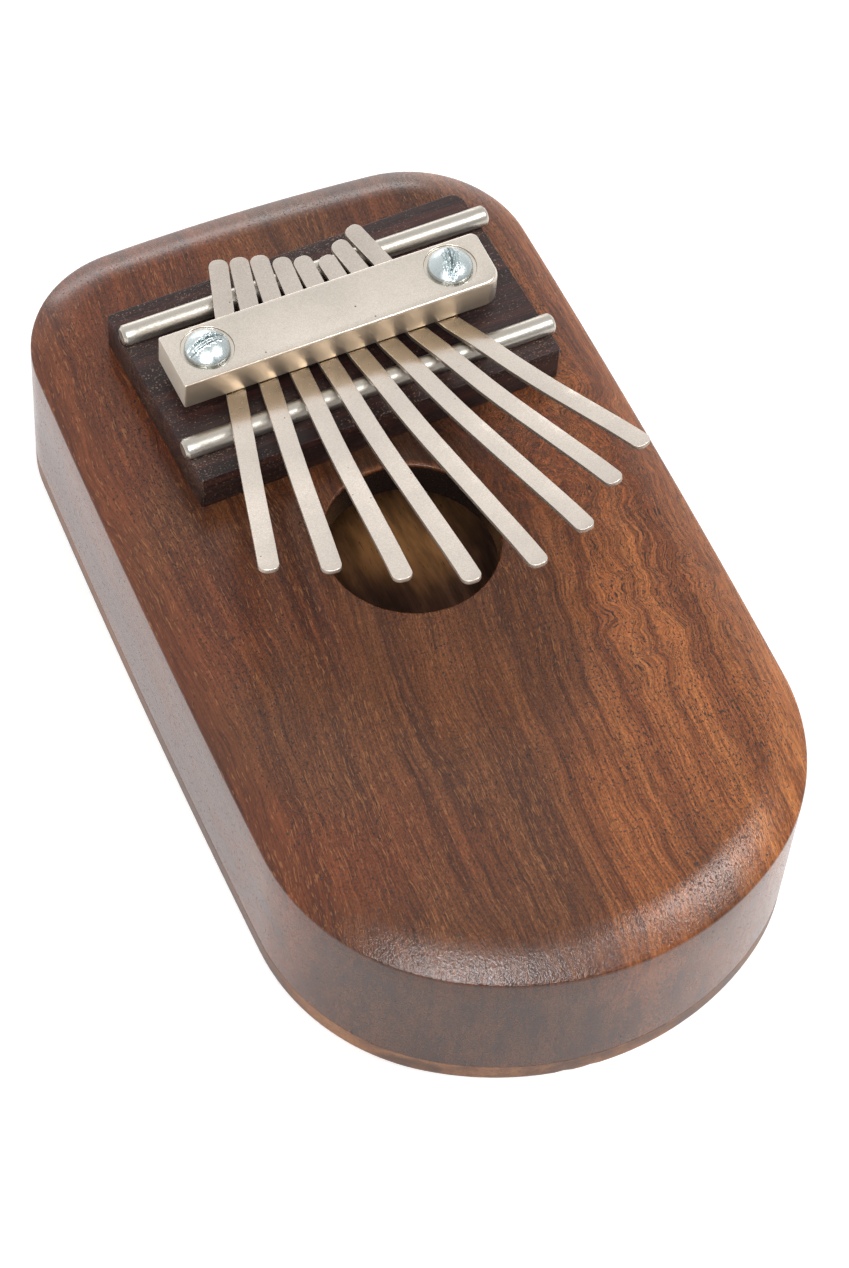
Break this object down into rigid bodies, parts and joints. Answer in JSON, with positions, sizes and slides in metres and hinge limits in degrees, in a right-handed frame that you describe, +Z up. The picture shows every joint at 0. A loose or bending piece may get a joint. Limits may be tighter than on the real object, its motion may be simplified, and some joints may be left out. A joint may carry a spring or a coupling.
{
  "type": "mbira",
  "caption": "Hollow hardwood thumb piano: rounded soundbox with a sound hole, and flat metal tines clamped over two rods by a screwed bar on a rosewood bridge bed.",
  "frame": {"origin": "centre of the resting face under the back panel, which is the middle of the outline", "axes": "+Z up out of the soundboard, +Y from the player's thumbs towards the clamped ends of the tines, +X to the player's right"},
  "size_m": [0.1, 0.1754, 0.0639],
  "materials": {
    "soundbox_wood": "satin oiled, open pored red-brown hardwood",
    "back_wood": "satin oiled, paler straight-grained hardwood",
    "bed_wood": "satin, sanded rosewood",
    "bar_nickel": "satin nickel plate on steel",
    "rod_nickel": "bright nickel plate on round steel",
    "tine_nickel": "satin nickel plate on spring steel",
    "screw_zinc": "bright zinc plate, slots chewed by a driver"
  },
  "bodies": {
    "soundbox": {"body": "soundbox_wood", "back_panel": "back_wood", "bridge_bed": "bed_wood", "front_rod": "rod_nickel", "rear_rod": "rod_nickel"},
    "clamp_bar": {"pressure_bar": "bar_nickel"},
    "left_screw": {"screw_left": "screw_zinc"},
    "right_screw": {"screw_right": "screw_zinc"},
    "tine_1_clamped": {"tine_1_tail": "tine_nickel"},
    "tine_1_free": {"tine_1_tongue": "tine_nickel"},
    "tine_2_clamped": {"tine_2_tail": "tine_nickel"},
    "tine_2_free": {"tine_2_tongue": "tine_nickel"},
    "tine_3_clamped": {"tine_3_tail": "tine_nickel"},
    "tine_3_free": {"tine_3_tongue": "tine_nickel"},
    "tine_4_clamped": {"tine_4_tail": "tine_nickel"},
    "tine_4_free": {"tine_4_tongue": "tine_nickel"},
    "tine_5_clamped": {"tine_5_tail": "tine_nickel"},
    "tine_5_free": {"tine_5_tongue": "tine_nickel"},
    "tine_6_clamped": {"tine_6_tail": "tine_nickel"},
    "tine_6_free": {"tine_6_tongue": "tine_nickel"},
    "tine_7_clamped": {"tine_7_tail": "tine_nickel"},
    "tine_7_free": {"tine_7_tongue": "tine_nickel"},
    "tine_8_clamped": {"tine_8_tail": "tine_nickel"},
    "tine_8_free": {"tine_8_tongue": "tine_nickel"}
  },
  "joints": [
    {"name": "bar_lift", "type": "slide", "parent": "soundbox", "child": "clamp_bar", "axis": [0, 0, 1], "range_m": [0, 0.0018]},
    {"name": "left_screw_turn", "type": "hinge", "parent": "clamp_bar", "child": "left_screw", "pos_m": [-0.02388, 0.04385, 0.054], "axis": [0, 0, 1], "range_deg": [0, 360]},
    {"name": "right_screw_turn", "type": "hinge", "parent": "clamp_bar", "child": "right_screw", "pos_m": [0.0241, 0.04536, 0.054], "axis": [0, 0, 1], "range_deg": [0, 360]},
    {"name": "tine_1_tune", "type": "slide", "parent": "soundbox", "child": "tine_1_clamped", "axis": [-0.2639, -0.9646, 0], "range_m": [-0.0006, 0.0006]},
    {"name": "tine_1_pluck", "type": "hinge", "parent": "tine_1_clamped", "child": "tine_1_free", "pos_m": [-0.02276, 0.03058, 0.04865], "axis": [0.9646, -0.2639, 0], "range_deg": [-3.5, 3.5], "stiffness_Nm_per_rad": 3.248},
    {"name": "tine_2_tune", "type": "slide", "parent": "soundbox", "child": "tine_2_clamped", "axis": [-0.1788, -0.9839, 0], "range_m": [-0.0006, 0.0006]},
    {"name": "tine_2_pluck", "type": "hinge", "parent": "tine_2_clamped", "child": "tine_2_free", "pos_m": [-0.01576, 0.0308, 0.04865], "axis": [0.9839, -0.1788, 0], "range_deg": [-3.5, 3.5], "stiffness_Nm_per_rad": 2.916},
    {"name": "tine_3_tune", "type": "slide", "parent": "soundbox", "child": "tine_3_clamped", "axis": [-0.0906, -0.9959, 0], "range_m": [-0.0006, 0.0006]},
    {"name": "tine_3_pluck", "type": "hinge", "parent": "tine_3_clamped", "child": "tine_3_free", "pos_m": [-0.00907, 0.03101, 0.04865], "axis": [0.9959, -0.0906, 0], "range_deg": [-3.5, 3.5], "stiffness_Nm_per_rad": 2.514},
    {"name": "tine_4_tune", "type": "slide", "parent": "soundbox", "child": "tine_4_clamped", "axis": [-0.0105, -0.9999, 0], "range_m": [-0.0006, 0.0006]},
    {"name": "tine_4_pluck", "type": "hinge", "parent": "tine_4_clamped", "child": "tine_4_free", "pos_m": [-0.00282, 0.03121, 0.04865], "axis": [0.9999, -0.0105, 0], "range_deg": [-3.5, 3.5], "stiffness_Nm_per_rad": 2.262},
    {"name": "tine_5_tune", "type": "slide", "parent": "soundbox", "child": "tine_5_clamped", "axis": [0.0819, -0.9966, 0], "range_m": [-0.0006, 0.0006]},
    {"name": "tine_5_pluck", "type": "hinge", "parent": "tine_5_clamped", "child": "tine_5_free", "pos_m": [0.00358, 0.03141, 0.04865], "axis": [0.9966, 0.0819, 0], "range_deg": [-3.5, 3.5], "stiffness_Nm_per_rad": 2.191},
    {"name": "tine_6_tune", "type": "slide", "parent": "soundbox", "child": "tine_6_clamped", "axis": [0.1685, -0.9857, 0], "range_m": [-0.0006, 0.0006]},
    {"name": "tine_6_pluck", "type": "hinge", "parent": "tine_6_clamped", "child": "tine_6_free", "pos_m": [0.01018, 0.03161, 0.04865], "axis": [0.9857, 0.1685, 0], "range_deg": [-3.5, 3.5], "stiffness_Nm_per_rad": 2.339},
    {"name": "tine_7_tune", "type": "slide", "parent": "soundbox", "child": "tine_7_clamped", "axis": [0.2605, -0.9655, 0], "range_m": [-0.0006, 0.0006]},
    {"name": "tine_7_pluck", "type": "hinge", "parent": "tine_7_clamped", "child": "tine_7_free", "pos_m": [0.01677, 0.03182, 0.04865], "axis": [0.9655, 0.2605, 0], "range_deg": [-3.5, 3.5], "stiffness_Nm_per_rad": 2.706},
    {"name": "tine_8_tune", "type": "slide", "parent": "soundbox", "child": "tine_8_clamped", "axis": [0.3387, -0.9409, 0], "range_m": [-0.0006, 0.0006]},
    {"name": "tine_8_pluck", "type": "hinge", "parent": "tine_8_clamped", "child": "tine_8_free", "pos_m": [0.02362, 0.03204, 0.04865], "axis": [0.9409, 0.3387, 0], "range_deg": [-3.5, 3.5], "stiffness_Nm_per_rad": 3.059}
  ],
  "couplings": [
    {"joint": "left_screw_turn", "follows": "bar_lift", "rad_per_m": 3490.3},
    {"joint": "right_screw_turn", "follows": "bar_lift", "rad_per_m": 3490.3}
  ]
}
